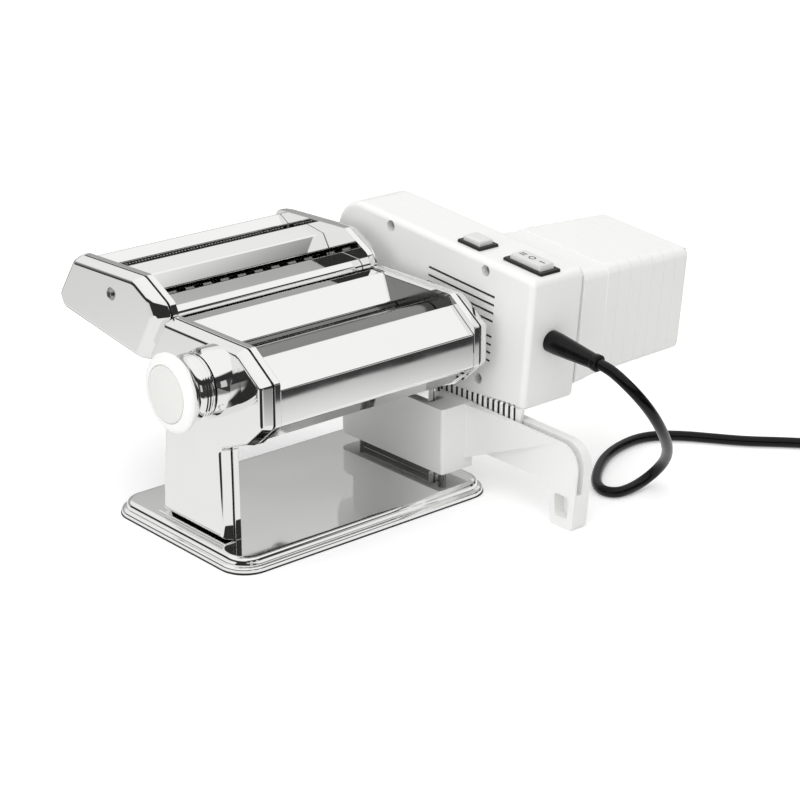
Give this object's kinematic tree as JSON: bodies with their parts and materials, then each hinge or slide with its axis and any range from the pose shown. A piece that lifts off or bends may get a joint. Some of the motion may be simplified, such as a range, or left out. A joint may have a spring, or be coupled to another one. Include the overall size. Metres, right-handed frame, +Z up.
{
  "type": "electric pasta maker",
  "caption": "Polished roller machine for pasta dough on a pressed base, with a thickness dial, a slide-on cutter head and a clip-on geared motor on a support bracket.",
  "frame": {"origin": "centre of the underside of the base pad, on the table", "axes": "+Z up; +X towards the motor; +Y towards the cutter head; the dough goes in from above and out below"},
  "size_m": [0.5458, 0.349, 0.1631],
  "materials": {
    "polished_chrome": "mirror-polished chrome on pressed steel",
    "ground_steel": "ground and polished steel",
    "machined_steel": "machined and plated steel",
    "bronze_bush": "sintered bronze",
    "white_abs": "satin moulded ABS",
    "grey_abs": "satin moulded ABS, pale grey",
    "black_abs": "fine-grained moulded ABS, black",
    "gear_nylon": "moulded nylon",
    "motor_steel": "zinc-plated steel",
    "black_pvc": "flexible PVC",
    "nickel_pin": "nickel-plated brass",
    "pad_rubber": "moulded rubber"
  },
  "bodies": {
    "root": {"base_plate": "polished_chrome", "base_pad": "pad_rubber", "left_side_plate": "polished_chrome", "right_side_plate": "polished_chrome", "left_side_cover": "polished_chrome", "right_side_cover": "polished_chrome", "front_hood": "polished_chrome", "rear_hood": "polished_chrome", "tie_rods": "ground_steel", "roller_bushes": "bronze_bush", "front_scraper": "ground_steel", "rear_scraper": "ground_steel", "dial_boss": "polished_chrome", "index_pin": "machined_steel", "gearbox_case_inner": "white_abs", "gearbox_case_outer": "white_abs", "gearbox_screws": "machined_steel", "motor_housing": "white_abs", "motor_can": "motor_steel", "pulse_bezel": "black_abs", "rocker_bezel": "black_abs", "support_bracket": "white_abs", "bracket_pins": "machined_steel", "strain_relief": "black_pvc", "cord": "black_pvc", "cord_coil": "black_pvc", "plug_body": "black_pvc", "plug_pins": "nickel_pin"},
    "rear_roller_body": {"rear_roller": "ground_steel", "rear_roller_gear": "machined_steel"},
    "adjuster": {"adjuster_shaft": "ground_steel"},
    "dial": {"dial_collar": "polished_chrome", "dial_ring": "white_abs", "dial_cap": "grey_abs"},
    "front_carrier": {"roller_carriers": "ground_steel"},
    "front_roller_body": {"front_roller": "ground_steel", "front_roller_gear": "machined_steel"},
    "cutter_head": {"cutter_plates": "polished_chrome", "cutter_caps": "polished_chrome", "cutter_screws": "machined_steel", "cutter_rear_guide": "polished_chrome", "cutter_bridge": "polished_chrome", "cutter_apron": "polished_chrome", "wide_comb": "ground_steel", "fine_comb": "ground_steel"},
    "wide_front": {"wide_roller_front": "ground_steel"},
    "wide_rear": {"wide_roller_rear": "ground_steel"},
    "fine_front": {"fine_roller_front": "ground_steel"},
    "fine_rear": {"fine_roller_rear": "ground_steel"},
    "output_drive": {"output_gear": "gear_nylon"},
    "idler": {"idler_gear": "gear_nylon"},
    "armature": {"motor_armature": "motor_steel"},
    "pulse": {"pulse_button": "grey_abs"},
    "rocker": {"rocker_switch": "grey_abs"}
  },
  "joints": [
    {"name": "rear_roller_spin", "type": "hinge", "parent": "root", "child": "rear_roller_body", "pos_m": [0, -0.0132, 0.1012], "axis": [1, 0, 0], "continuous": true},
    {"name": "dial_turn", "type": "hinge", "parent": "root", "child": "adjuster", "pos_m": [0, -0.03758, 0.11257], "axis": [1, 0, 0], "range_deg": [0, 180]},
    {"name": "front_shift", "type": "slide", "parent": "root", "child": "front_carrier", "axis": [0, -0.9063, 0.4226], "range_m": [0, 0.0024]},
    {"name": "front_roller_spin", "type": "hinge", "parent": "front_carrier", "child": "front_roller_body", "pos_m": [0, -0.03649, 0.11206], "axis": [1, 0, 0], "continuous": true},
    {"name": "dial_pull", "type": "slide", "parent": "adjuster", "child": "dial", "axis": [-1, 0, 0], "range_m": [0, 0.004], "stiffness_N_per_m": 900, "springref_m": -0.004},
    {"name": "cutter_slide", "type": "slide", "parent": "root", "child": "cutter_head", "axis": [0, -0.5622, 0.827], "range_m": [0, 0.04]},
    {"name": "wide_spin", "type": "hinge", "parent": "cutter_head", "child": "wide_front", "pos_m": [0, 0.0456, 0.1212], "axis": [1, 0, 0], "continuous": true},
    {"name": "wide_rear_spin", "type": "hinge", "parent": "cutter_head", "child": "wide_rear", "pos_m": [0, 0.0628, 0.1212], "axis": [1, 0, 0], "continuous": true},
    {"name": "fine_spin", "type": "hinge", "parent": "cutter_head", "child": "fine_front", "pos_m": [0, 0.0844, 0.1265], "axis": [1, 0, 0], "continuous": true},
    {"name": "fine_rear_spin", "type": "hinge", "parent": "cutter_head", "child": "fine_rear", "pos_m": [0, 0.1016, 0.1265], "axis": [1, 0, 0], "continuous": true},
    {"name": "output_spin", "type": "hinge", "parent": "root", "child": "output_drive", "pos_m": [0, -0.0132, 0.1012], "axis": [1, 0, 0], "continuous": true},
    {"name": "idler_spin", "type": "hinge", "parent": "root", "child": "idler", "pos_m": [0, -0.04216, 0.09968], "axis": [1, 0, 0], "continuous": true},
    {"name": "armature_spin", "type": "hinge", "parent": "root", "child": "armature", "pos_m": [0, -0.06941, 0.11224], "axis": [1, 0, 0], "continuous": true},
    {"name": "pulse_press", "type": "slide", "parent": "root", "child": "pulse", "axis": [0, 0.0891, -0.996], "range_m": [0, 0.0025], "stiffness_N_per_m": 500, "springref_m": -0.002},
    {"name": "rocker_tip", "type": "hinge", "parent": "root", "child": "rocker", "pos_m": [0.1155, -0.08418, 0.15057], "axis": [1, 0, 0], "range_deg": [-10, 10]}
  ],
  "couplings": [
    {"joint": "dial_turn", "follows": "front_shift", "rad_per_m": 1308.9},
    {"joint": "front_roller_spin", "follows": "rear_roller_spin", "ratio": -1},
    {"joint": "wide_rear_spin", "follows": "wide_spin", "ratio": -1},
    {"joint": "fine_rear_spin", "follows": "fine_spin", "ratio": -1},
    {"joint": "output_spin", "follows": "rear_roller_spin", "ratio": 1},
    {"joint": "idler_spin", "follows": "rear_roller_spin", "ratio": -3.4615},
    {"joint": "armature_spin", "follows": "rear_roller_spin", "ratio": 13.846}
  ]
}
